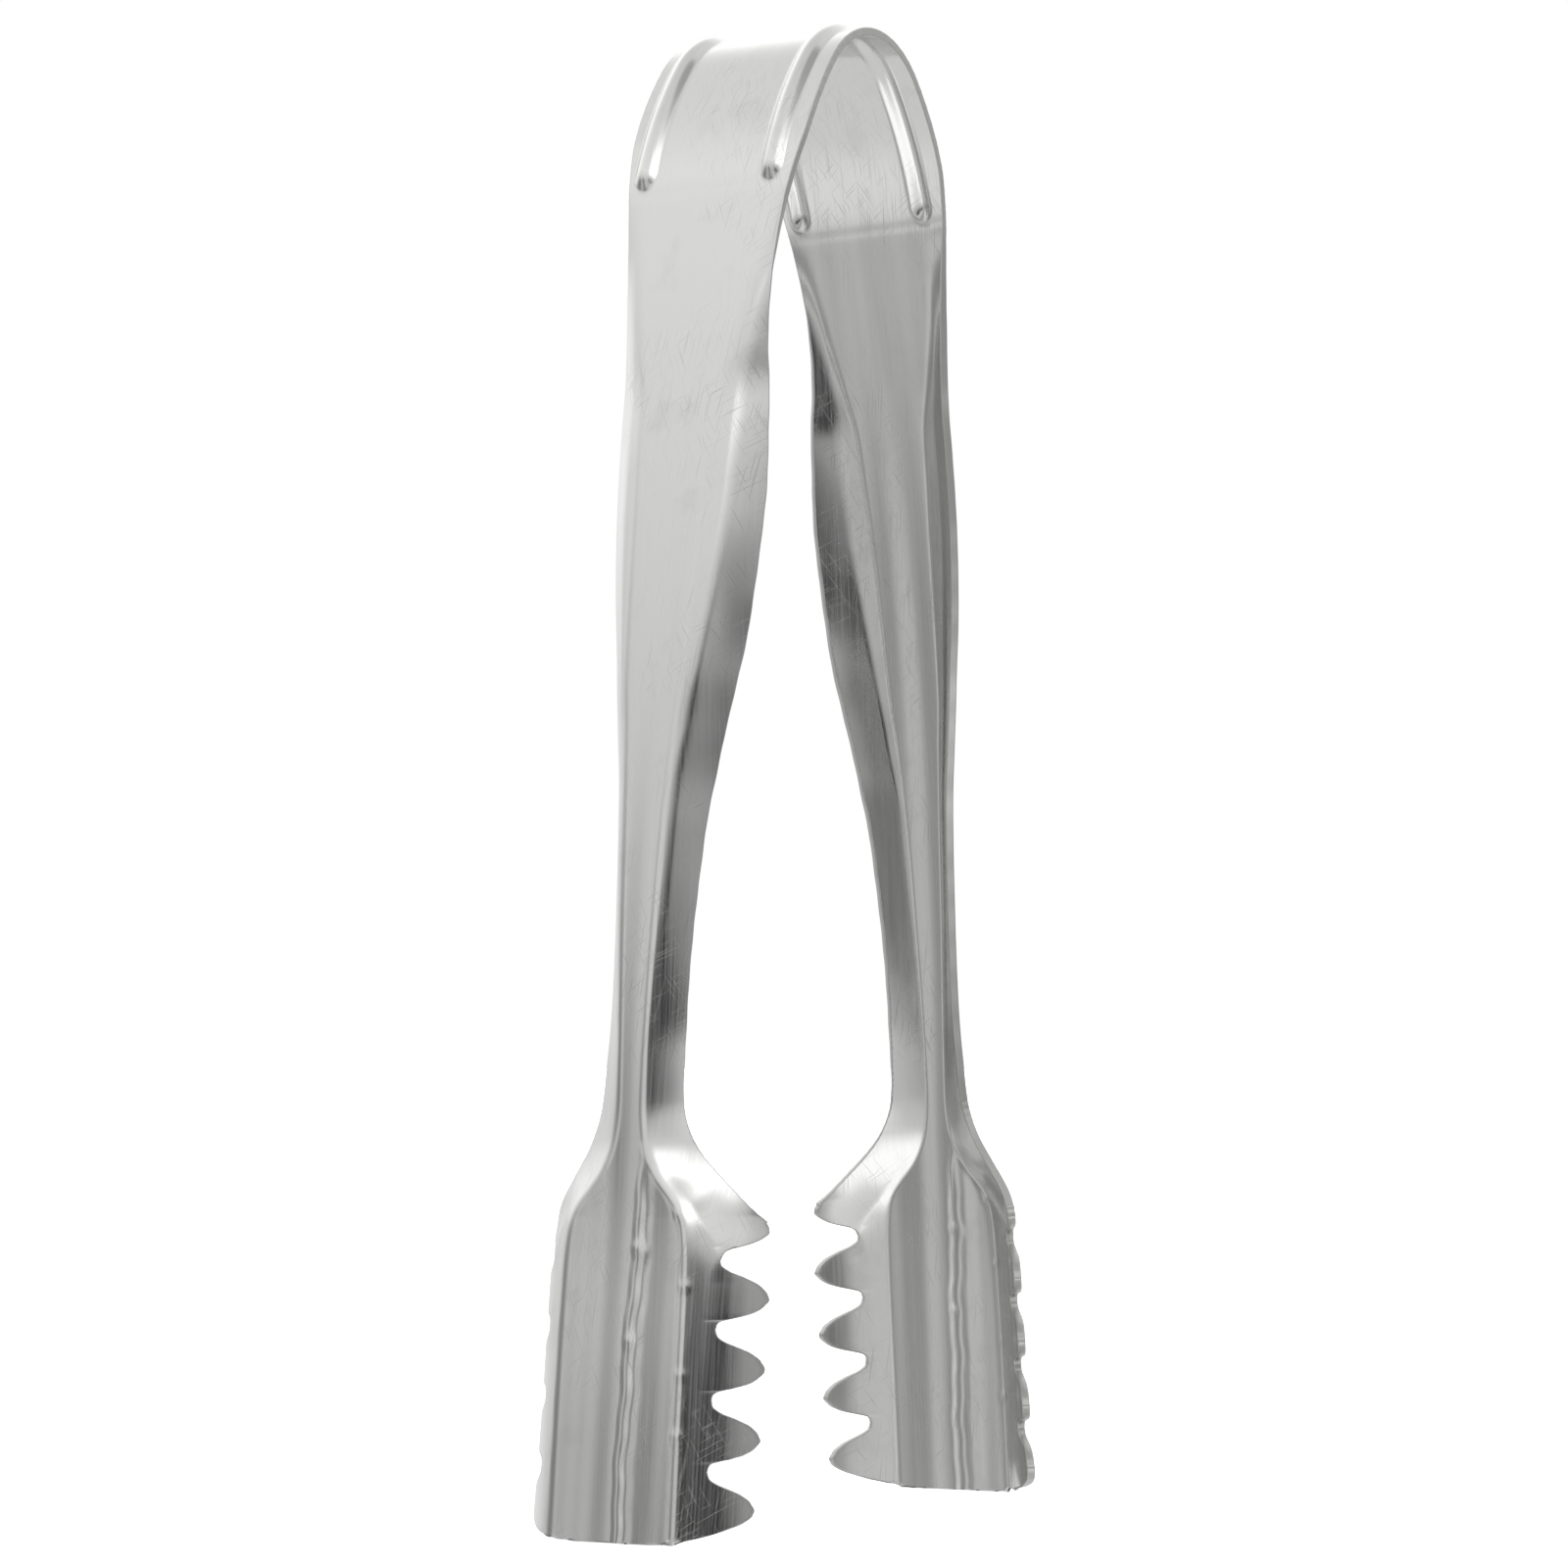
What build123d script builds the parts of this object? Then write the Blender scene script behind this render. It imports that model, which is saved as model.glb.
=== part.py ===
from build123d import *
from math import acos, cos, radians, sin
import os

# Ice tongs: one strip of stainless sheet, bent over a bow and pressed into two channelled
# arms that end in toothed trough claws. Both arms are mirror images. The strip is divided
# where it changes its form: crown, two shoulders, two grips, two necks and two claws.
# Frame: +Z up, +X opens the arms, Y runs across the strip, origin under the middle of the
# claws on the plane that their bottom edges share. All sizes are in millimetres.

# ---- driving dimensions ----
total_height = 165.0
sheet = 0.9                  # thickness of the strip
crown_radius = 12.8          # outer radius of the bow at its top
side_radius = 41.0           # outer radius of the bow's sides
crown_turn = 48.6            # degrees from the top where the crown arc meets the side arc
hinge_turn = 45.0            # degrees from the top where the strip is taken to flex
bow_half_width = 11.1
bow_edge_height = 158.0      # the bow is parallel above this

shoulder_bottom = 144.0      # heights where one zone of the strip meets the next
grip_bottom = 92.0
neck_bottom = 46.0

bead_offset = 8.0            # centre of each stiffening bead from the middle of the strip
bead_radius = 1.3            # outside of the pressed bead, about the middle of the sheet
groove_radius = 0.8          # inside of the pressed bead, about the inner face
bead_end_height = 146.7      # centre of the domed bead end

tooth_count = 5
tooth_pitch = 7.35
tooth_tip_width = 13.3       # half-width across the claw at the tooth tips
notch_width = 10.05          # half-width across the claw at the bottom of the gaps
last_notch_height = 7.6
corner_width = 9.6           # half-width where the bottom edge starts to round up
corner_inset = 1.2           # the rounded corner passes this far inside the tip width
corner_rise = 1.0            # at this height

# Underside of the top tooth, as (rise above the first gap, inset from the tip width).
top_tooth = [(2.7, 0.35), (1.5, 1.3)]

# One gap and the tooth under it, as (drop below the gap, share of the tooth's depth).
tooth_curve = [(0.0, 0.0), (1.2, 0.2), (1.9, 0.51), (2.8, 0.8), (4.4, 1.0), (5.7, 0.76), (6.4, 0.2)]
corner_skips = 2             # points of the lowest tooth that the rounded corner replaces

# Half-width of the strip seen from the front, above the teeth: (half-width, height).
edge_curve = [
    (10.8, 35.9), (6.4, 41.6), (4.85, 46.0), (4.45, 55.0), (5.2, 75.0), (7.2, 90.0),
    (8.45, 101.0), (9.1, 112.0), (8.8, 125.0), (8.9, 135.0), (9.9, 144.0), (11.0, 151.0),
]

# Cross-sections of the right arm at the middle of the sheet, from the claw upwards:
# (height, distance of the back, half-width of the back, turn of the wall, edge of the wall).
arm_sections = [
    (0.0, 38.15, 7.6, (37.2, 9.75), (33.0, 13.55)),
    (15.0, 36.75, 7.7, (35.4, 10.05), (30.7, 13.6)),
    (29.0, 35.2, 7.5, (33.4, 10.4), (29.3, 13.4)),
    (33.0, 34.8, 7.2, (33.1, 9.9), (29.4, 13.1)),
    (36.0, 34.55, 5.3, (33.8, 7.9), (31.6, 10.9)),
    (39.0, 34.35, 3.2, (33.6, 5.9), (32.3, 8.6)),
    (42.0, 34.2, 2.3, (33.5, 4.5), (32.7, 6.4)),
    (46.0, 33.95, 1.9, (33.1, 3.5), (32.2, 4.9)),
    (51.0, 33.6, 1.75, (32.3, 3.2), (30.9, 4.6)),
    (57.0, 33.1, 1.75, (31.4, 3.1), (29.6, 4.5)),
    (75.0, 31.3, 2.3, (29.35, 4.0), (27.1, 5.3)),
    (92.0, 29.0, 3.9, (26.7, 5.9), (24.0, 7.5)),
    (101.0, 27.6, 4.7, (25.2, 6.85), (22.4, 8.5)),
    (112.0, 25.7, 5.1, (23.6, 7.35), (21.2, 9.2)),
    (123.0, 23.4, 5.7, (21.95, 7.5), (20.2, 9.0)),
    (135.0, 20.5, 7.0, (20.05, 8.2), (19.3, 9.2)),
]
arm_top_widths = (8.3, 9.3, 10.0)     # the same three half-widths where the arm begins
wall_spare = 1.6             # the walls are lofted past the outline and then cut to it
bow_spare = 1.0              # the bow's blank is wider than the outline on each side
bow_overrun = 3.0            # and runs this far below the shoulders
crowning = 0.06              # rise of the flat strip where the arm begins
fold_cut = 0.28              # share of the back and of the wall that each fold takes

# ---- worked out from them ----
crown_centre = Vector(0, 0, total_height - crown_radius)
junction = radians(crown_turn)
side_reach = side_radius - crown_radius
side_centre = crown_centre - Vector(sin(junction), 0, cos(junction)) * side_reach
above = total_height + 2.0   # clear of the bow's top
reach_each_way = 60.0        # clear of the claws in X


def bow_point(centre, radius, turn):
    """Point of the bow's side line at an angle from the top, in radians."""
    return centre + Vector(sin(turn), 0, cos(turn)) * radius


def turn_at(height, radius):
    """Angle from the top at which the side arc of this radius reaches a height."""
    return acos((height - side_centre.Z) / radius)


def bow_path(offset, end_turn):
    """Seven points of the bow's side line at a distance inside its outer face."""
    side = side_radius - offset
    right = [
        bow_point(crown_centre, crown_radius - offset, junction),
        bow_point(side_centre, side, (junction + end_turn) / 2),
        bow_point(side_centre, side, end_turn),
    ]
    left = [Vector(-p.X, 0, p.Z) for p in reversed(right)]
    return left + [Vector(0, 0, total_height - offset)] + right


def draw_bow(points):
    """Three tangent arcs through the seven points, for the active line builder."""
    ThreePointArc(points[0], points[1], points[2])
    ThreePointArc(points[2], points[3], points[4])
    ThreePointArc(points[4], points[5], points[6])


def thick_outline(points, thickness):
    """Closed outline of a bent sheet whose middle line follows the points."""
    outer = []
    inner = []
    for index, here in enumerate(points):
        before = points[index - 1] if index else None
        after = points[index + 1] if index < len(points) - 1 else None
        runs = [b - a for a, b in ((before, here), (here, after)) if a and b]
        sides = [Vector(run.Y, -run.X).normalized() for run in runs]
        middle = (sides[0] + sides[-1]).normalized()
        reach = thickness / 2 / middle.dot(sides[0])
        outer.append(here + middle * reach)
        inner.append(here - middle * reach)
    return outer + inner[::-1]


def arm_section(back, back_width, turn, edge):
    """Middle line of one cross-section, edge to edge, with the folds cut across."""
    turn_point = Vector(*turn)
    edge_point = Vector(*edge)
    fold = Vector(back, back_width)
    half = [
        edge_point + (edge_point - turn_point).normalized() * wall_spare,
        turn_point,
        fold + (turn_point - fold) * fold_cut,
        fold - Vector(0, back_width) * fold_cut,
    ]
    return [Vector(p.X, -p.Y) for p in half] + half[::-1]


# ---- front outline, which trims every zone ----
first_gap = last_notch_height + (tooth_count - 2) * tooth_pitch
tooth_depth = tooth_tip_width - notch_width
teeth = [(tooth_tip_width - inset, first_gap + rise) for rise, inset in top_tooth]
for gap in range(tooth_count - 1):
    for drop, share in tooth_curve:
        height = first_gap - gap * tooth_pitch - drop
        teeth.append((notch_width + tooth_depth * share, height))

with BuildPart() as front_block:
    with BuildSketch(Plane.YZ.offset(-reach_each_way)):
        with BuildLine():
            corner = (corner_width, 0.0)
            bow_edge = (bow_half_width, bow_edge_height)
            Spline(
                bow_edge,
                *reversed(edge_curve),
                *teeth[:-corner_skips],
                (tooth_tip_width - corner_inset, corner_rise),
                corner,
                tangents=[(0, -1), (-1, 0)],
            )
            Polyline(corner, (0, 0), (0, above), (bow_half_width, above), bow_edge)
        make_face()
        mirror(about=Plane.YZ)
    extrude(amount=2 * reach_each_way)

# ---- bow: a strip bent over three arcs, with two pressed beads ----
strip_end = turn_at(shoulder_bottom - bow_overrun, side_radius)
with BuildPart() as bow_blank:
    with BuildSketch(Plane.XZ):
        with BuildLine():
            outer_line = [(p.X, p.Z) for p in bow_path(0, strip_end)]
            inner_line = [(p.X, p.Z) for p in bow_path(sheet, strip_end)]
            draw_bow(outer_line)
            draw_bow(inner_line)
            Line(outer_line[0], inner_line[0])
            Line(outer_line[-1], inner_line[-1])
        make_face()
    extrude(amount=bow_half_width + bow_spare, both=True)


def bead_bars(radius, offset):
    """Round bars with ball ends on both bead lines, at a distance inside the outer face."""
    run = bow_path(offset, turn_at(bead_end_height, side_radius - offset))
    with BuildPart() as bars:
        for side in (-bead_offset, bead_offset):
            placed = [point + Vector(0, side, 0) for point in run]
            with BuildLine() as path:
                draw_bow(placed)
            with BuildSketch(Plane(origin=path.wire() @ 0, z_dir=path.wire() % 0)):
                Circle(radius)
            sweep(path=path.wire())
            with Locations(placed[0], placed[-1]):
                Sphere(radius)
    return bars.part


# The space under the bow, which keeps the bead bars from standing out on the inside.
with BuildPart() as bow_hollow:
    with BuildSketch(Plane.XZ):
        with BuildLine():
            draw_bow(inner_line)
            Line(inner_line[-1], inner_line[0])
        make_face()
    extrude(amount=bow_half_width + bow_spare, both=True)

with BuildPart() as bow_strip:
    add(bead_bars(bead_radius, sheet / 2))
    add(bow_hollow.part, mode=Mode.SUBTRACT)
    add(bow_blank.part)
    add(bead_bars(groove_radius, sheet), mode=Mode.SUBTRACT)

# ---- arm: the sheet folded into a channel, then opened into the claw ----
arm_top = bow_point(side_centre, side_radius - sheet / 2, turn_at(shoulder_bottom, side_radius))
top_back, top_turn, top_edge = arm_top_widths
top_section = (
    shoulder_bottom,
    arm_top.X + crowning,
    top_back,
    (arm_top.X, top_turn),
    (arm_top.X - crowning, top_edge),
)
with BuildPart() as arm_blank:
    for height, back, back_width, turn, edge in arm_sections + [top_section]:
        with BuildSketch(Plane.XY.offset(height)):
            with BuildLine():
                Polyline(*thick_outline(arm_section(back, back_width, turn, edge), sheet), close=True)
            make_face()
    loft(ruled=True)


def zone(blank, low, high):
    """The stretch of a blank on +X between two heights, trimmed to the front outline."""
    with BuildPart() as piece:
        add(front_block.part)
        add(blank, mode=Mode.INTERSECT)
        split(bisect_by=Plane.XY.offset(low), keep=Keep.TOP)
        split(bisect_by=Plane.XY.offset(high), keep=Keep.BOTTOM)
    return piece.part


# The crown and the shoulders meet on radial planes through the flex lines.
turn = radians(hinge_turn)
flex_point = bow_point(crown_centre, crown_radius - sheet, turn)
right_cut = Plane(origin=flex_point, z_dir=(cos(turn), 0, -sin(turn)))
left_cut = Plane(origin=(-flex_point.X, 0, flex_point.Z), z_dir=(-cos(turn), 0, -sin(turn)))
print("flex line x, z:", round(flex_point.X, 3), round(flex_point.Z, 3))

with BuildPart() as bow_crown:
    add(front_block.part)
    add(bow_strip.part, mode=Mode.INTERSECT)
    split(bisect_by=right_cut, keep=Keep.BOTTOM)
    split(bisect_by=left_cut, keep=Keep.BOTTOM)

with BuildPart() as right_shoulder:
    add(zone(bow_strip.part, shoulder_bottom, above))
    split(bisect_by=right_cut, keep=Keep.TOP)

arms = {
    "shoulder": right_shoulder.part,
    "grip": zone(arm_blank.part, grip_bottom, shoulder_bottom),
    "neck": zone(arm_blank.part, neck_bottom, grip_bottom),
    "claw": zone(arm_blank.part, 0, neck_bottom),
}

# ---- one STEP per zone ----
os.makedirs("parts", exist_ok=True)
bow_crown.part.label = "bow_crown"
export_step(bow_crown.part, "parts/bow_crown.step")
for name, shape in arms.items():
    with BuildPart() as right_piece:
        add(shape)
    with BuildPart() as left_piece:
        add(mirror(shape, about=Plane.YZ))
    for side, piece in (("right", right_piece), ("left", left_piece)):
        piece.part.label = f"{side}_{name}"
        export_step(piece.part, f"parts/{side}_{name}.step")
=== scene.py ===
import math

import bpy
import numpy as np
from mathutils import Matrix, Vector


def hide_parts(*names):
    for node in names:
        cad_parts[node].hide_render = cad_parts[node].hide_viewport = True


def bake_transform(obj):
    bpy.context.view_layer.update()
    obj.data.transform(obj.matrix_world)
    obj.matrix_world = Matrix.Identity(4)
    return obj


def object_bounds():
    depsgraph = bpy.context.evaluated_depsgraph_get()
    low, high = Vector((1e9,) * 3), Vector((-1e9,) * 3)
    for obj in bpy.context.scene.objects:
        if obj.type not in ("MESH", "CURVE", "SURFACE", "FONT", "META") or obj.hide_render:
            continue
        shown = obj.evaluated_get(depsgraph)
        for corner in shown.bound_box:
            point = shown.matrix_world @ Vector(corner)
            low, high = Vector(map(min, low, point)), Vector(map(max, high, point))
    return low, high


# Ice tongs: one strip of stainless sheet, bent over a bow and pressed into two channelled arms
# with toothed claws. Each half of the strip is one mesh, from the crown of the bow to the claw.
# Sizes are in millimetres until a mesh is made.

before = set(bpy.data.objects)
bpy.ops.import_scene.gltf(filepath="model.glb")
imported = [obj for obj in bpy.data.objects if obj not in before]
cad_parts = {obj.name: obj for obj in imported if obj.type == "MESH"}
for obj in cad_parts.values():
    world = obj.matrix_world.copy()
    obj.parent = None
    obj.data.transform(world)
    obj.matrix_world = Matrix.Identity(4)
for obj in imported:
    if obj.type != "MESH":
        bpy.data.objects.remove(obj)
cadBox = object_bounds()
mm = 0.001
print("frame loaded:", len(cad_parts), "nodes")

strip = {
    "sheet": 0.9,
    "crownRadius": 12.8,       # outer radius at the top of the bow
    "sideRadius": 41.0,        # outer radius of the bow's sides
    "crownTurn": 48.6,         # degrees from the top to where the side arcs start
    "armTop": 144.0,           # height where the bow's sides become the arms
    "edgeRound": 0.14,         # worn corners of the cut edge
    # height and distance of the middle of the back from the mirror plane
    "back": [(0, 38.15), (15, 36.75), (29, 35.2), (33, 34.8), (39, 34.35), (46, 33.95), (57, 33.1),
             (75, 31.3), (92, 29.0), (101, 27.6), (112, 25.7), (123, 23.4), (135, 20.5), (144, 18.03)],
    # height and half-width of the flat back, up to its fold
    "fold": [(0, 7.55), (15, 7.55), (29, 7.4), (33, 7.05), (34.5, 6.5), (36, 5.4), (39, 2.9), (42, 1.7),
             (46, 1.3), (51, 1.35), (57, 1.5), (67, 1.85), (75, 2.15), (86, 2.8), (92, 3.35), (101, 3.65),
             (110, 3.9), (117, 4.3), (122.5, 4.6), (128, 5.7), (133, 6.7), (138.5, 7.65), (144, 8.4)],
    # height and half-width of the second fold, where the channel's wall starts
    "turn": [(0, 10.0), (15, 10.05), (28, 10.2), (30, 10.1), (31.5, 9.6), (33.9, 7.9), (36.5, 5.7),
             (39.3, 3.3), (42, 2.2), (46, 1.8), (51, 1.8), (57, 2.05), (67, 2.6), (75, 3.0), (80, 3.25),
             (86, 3.95), (92.5, 4.65), (101, 5.45), (109.6, 6.2), (117, 6.5), (122.5, 6.65), (128, 7.25),
             (133, 7.75), (138.5, 8.2), (144, 9.2)],
    # height and fall per millimetre of width, between the folds and past the second one
    "facetFall": [(0, 0.45), (15, 0.57), (29, 0.65), (34, 0.8), (36, 0.6), (39, 0.5), (46, 0.5), (122, 0.5),
                  (128, 0.45), (133, 0.35), (138.5, 0.2), (144, 0.05)],
    "wallFall": [(0, 1.12), (15, 1.34), (29, 1.38), (31.5, 1.27), (33.9, 1.08), (36.5, 0.84), (39.3, 0.68),
                 (42, 0.66), (46, 0.76), (50.7, 0.93), (54.8, 1.12), (59, 1.25), (67.3, 1.45), (74, 1.52),
                 (92.6, 1.5), (101, 1.3), (109.6, 1.2), (117, 1.1), (122.4, 1.0), (127.7, 1.0), (133, 0.8),
                 (138.5, 0.42), (144, 0.06)],
    # height and half the width of the rounding at the folds
    "foldRound": [(0, 0.5), (30, 0.5), (40, 0.4), (57, 0.3), (100, 0.35), (130, 0.6), (144, 1.0)],
    "turnRound": [(0, 1.2), (27, 1.1), (30, 0.45), (34, 0.3), (40, 0.4), (57, 0.35), (100, 0.4),
                  (130, 0.7), (144, 1.0)],
    # height and half-width of the cut outline above the first tooth
    "edge": [(33.7, 12.55), (35.9, 10.8), (38.6, 8.45), (41.6, 6.25), (45.3, 4.88), (49.1, 4.6),
             (56.6, 4.4), (62.3, 4.5), (75.5, 5.2), (83, 6.05), (90.6, 7.2), (98.1, 8.2),
             (105.6, 8.85), (113.2, 9.15), (120.7, 9.0), (128.2, 8.7), (135.8, 9.0),
             (141.4, 9.6), (147.1, 10.4), (152, 11.0), (156, 11.1), (166, 11.1)],
    # the die's seam down the back of the claw: height and distance to one side of the middle
    "seam": [(0, 0.6), (15, 0.9), (33, 1.6), (40, 1.8), (46, 1.4)],
    "seamRise": 0.15,
    "seamWidth": 0.42,
    "seamTop": 42.0,
    "creaseRise": 0.1,         # raised line that the die left along the claw's folds
    "creaseWidth": 0.5,
    "drawWave": 0.045,         # depth of the long waves that drawing leaves across the back
    "drawPitch": 4.9,
    "columns": 31,             # of the mesh on each side of the middle, and more near the cut edge
    "edgeColumns": 15,
    "clawStep": 0.17,          # rows of the mesh, closer where the teeth are
    "armStep": 0.72,
    "endStep": 0.08,
    "dieLine": 145.4,          # the die's upper end leaves a faint line across the strip
    "dieLineDepth": 0.018,
    "crown": 0.005,            # the claw's back is faintly domed
}

teeth = {
    "count": 5,
    "pitch": 7.35,
    "gapHeight": 7.6,          # lowest gap
    "gapWidth": 10.02,         # half-width at the bottom of a gap
    "tipWidth": 13.28,         # half-width at a tip
    # one gap and the tooth under it: drop below the gap, share of the tooth's depth
    "curve": [(0, 0), (0.6, 0.04), (1.2, 0.2), (1.9, 0.51), (2.6, 0.76), (3.4, 0.92), (4.4, 1.0),
              (5.2, 0.9), (5.8, 0.72), (6.2, 0.42), (6.5, 0.12), (6.9, 0.02), (7.35, 0)],
    # lowest tooth and the rounded end corner: height, half-width
    "end": [(0, 4.0), (0.12, 6.0), (0.35, 7.8), (0.7, 9.4), (1.1, 10.7), (1.6, 11.8), (2.1, 12.6),
            (2.7, 13.1), (3.3, 13.28)],
    "curl": 0.1,               # the tips bend in by this times the squared width past curlFrom
    "curlFrom": 11.2,
    # underside of the first tooth: height, half-width
    "first": [(29.65, 10.12), (30.3, 10.3), (30.7, 10.85), (31.1, 11.9), (31.6, 12.6), (32.3, 12.96),
              (33.0, 12.82), (33.7, 12.5)],
}

# small burrs that the die left on the claw's back: height, across, radius, rise
burrs = [(30.7, -1.5, 0.5, 0.1), (30.3, -2.5, 0.55, 0.06), (21.0, -1.15, 0.5, 0.09), (26.8, -7.3, 0.4, 0.06),
         (17.6, -7.35, 0.4, 0.05), (11.2, -7.3, 0.5, 0.07), (34.2, -6.2, 0.45, 0.06)]

beads = {
    "offset": 8.0,             # from the middle of the strip
    "shift": 0.3,              # both sit a little to one side
    "halfWidth": 1.5,          # at the foot of the bead
    "height": 0.85,
    "end": 1.5,                # how many times longer than wide the domed end is
    "lowest": 145.3,           # height of the bead's end
}

cadTop = cadBox[1][2] / mm - beads["height"]     # outer face at the crown, between the beads


# smooth curve through the points that never overshoots them
def monotoneCurve(points):
    x, y = np.array(points, float).T
    step = np.diff(x)
    slope = np.diff(y) / step
    tangent = np.zeros(len(x))
    for i in range(1, len(x) - 1):
        if slope[i - 1] * slope[i] > 0:
            w1, w2 = 2 * step[i] + step[i - 1], step[i] + 2 * step[i - 1]
            tangent[i] = (w1 + w2) / (w1 / slope[i - 1] + w2 / slope[i])
    tangent[0], tangent[-1] = slope[0], slope[-1]

    def value(at):
        at = np.clip(np.asarray(at, float), x[0], x[-1])
        i = np.clip(np.searchsorted(x, at) - 1, 0, len(x) - 2)
        u = (at - x[i]) / step[i]
        return ((2 * u**3 - 3 * u**2 + 1) * y[i] + (u**3 - 2 * u**2 + u) * step[i] * tangent[i]
                + (3 * u**2 - 2 * u**3) * y[i + 1] + (u**3 - u**2) * step[i] * tangent[i + 1])
    return value


# the same curve with its corners evened out over about blur millimetres
def blurredCurve(points, blur):
    curve = monotoneCurve(points)
    low, high = points[0][0], points[-1][0]
    grid = np.arange(low - 4 * blur, high + 4 * blur, 0.1)
    first, last = curve(low), curve(high)
    lowSlope, highSlope = (curve(low + 0.01) - first) / 0.01, (last - curve(high - 0.01)) / 0.01
    sampled = np.where(grid < low, first + (grid - low) * lowSlope, curve(grid))
    sampled = np.where(grid > high, last + (grid - high) * highSlope, sampled)
    reach = int(3 * blur / 0.1)
    weights = np.exp(-0.5 * (np.arange(-reach, reach + 1) * 0.1 / blur) ** 2)
    smooth = np.convolve(sampled, weights / weights.sum(), mode="same")
    return lambda at: np.interp(at, grid[reach:-reach], smooth[reach:-reach])


# distance past a fold, with the fold rounded over its half-width
def softFall(past, rounding):
    bend = (past + rounding) ** 2 / (4 * rounding)
    return np.where(past <= -rounding, 0.0, np.where(past >= rounding, past, bend))


backLine = blurredCurve(strip["back"], 4.0)
foldLine = blurredCurve(strip["fold"], 0.8)
turnLine = blurredCurve(strip["turn"], 0.6)
facetFall = blurredCurve(strip["facetFall"], 1.2)
wallFall = blurredCurve(strip["wallFall"], 1.0)
foldRound = monotoneCurve(strip["foldRound"])
turnRound = monotoneCurve(strip["turnRound"])
seamLine = blurredCurve(strip["seam"], 2.0)
edgeLine = blurredCurve(strip["edge"], 0.9)
toothCurve = monotoneCurve(teeth["curve"])
toothEnd = monotoneCurve(teeth["end"])
firstTooth = monotoneCurve(teeth["first"])


# half-width of the cut outline at a height
def cutWidth(z):
    topGap = teeth["gapHeight"] + (teeth["count"] - 2) * teeth["pitch"]
    drop = (topGap - z) % teeth["pitch"]
    depth = teeth["tipWidth"] - teeth["gapWidth"]
    width = teeth["gapWidth"] + depth * toothCurve(drop)
    width = np.where(z > topGap, firstTooth(z), width)
    width = np.where(z > 33.4, edgeLine(z), width)
    return np.where(z < 3.3, toothEnd(z), width)


# half-width without the teeth, which the columns of the mesh follow
def evenWidth(z):
    share = np.clip((z - 34) / 6, 0, 1)
    return teeth["gapWidth"] * (1 - share) + np.minimum(edgeLine(z), teeth["gapWidth"] + 1.2) * share


# middle of the sheet and the outward direction on the bow, at an angle from its top
def bowPoint(turn):
    top = cadTop - strip["crownRadius"]
    junction = math.radians(strip["crownTurn"])
    gap = strip["sideRadius"] - strip["crownRadius"]
    if turn <= junction:
        centre, radius = (0.0, top), strip["crownRadius"] - strip["sheet"] / 2
    else:
        centre = (-gap * math.sin(junction), top - gap * math.cos(junction))
        radius = strip["sideRadius"] - strip["sheet"] / 2
    return centre[0] + radius * math.sin(turn), centre[1] + radius * math.cos(turn)


# middle line of the strip from the crown to the claw's end: x, z and the run along it
def stripRows():
    rows = []
    turn, step = 0.0, 0.02
    while True:
        x, z = bowPoint(turn)
        if z < strip["armTop"]:
            break
        rows.append((x, z))
        radius = strip["crownRadius"] if turn < math.radians(strip["crownTurn"]) else strip["sideRadius"]
        turn += step / radius
        step = min(step * 1.6, 0.36)
    heights = np.concatenate([np.arange(strip["armTop"] - 0.3, 46, -strip["armStep"]),
                              np.arange(46, 1, -strip["clawStep"]),
                              np.arange(0.96, 0, -strip["endStep"]), [0.0]])
    rows = np.array(rows + list(zip(backLine(heights), heights)))
    run = np.concatenate([[0], np.cumsum(np.hypot(np.diff(rows[:, 0]), np.diff(rows[:, 1])))])
    return rows, run


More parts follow.
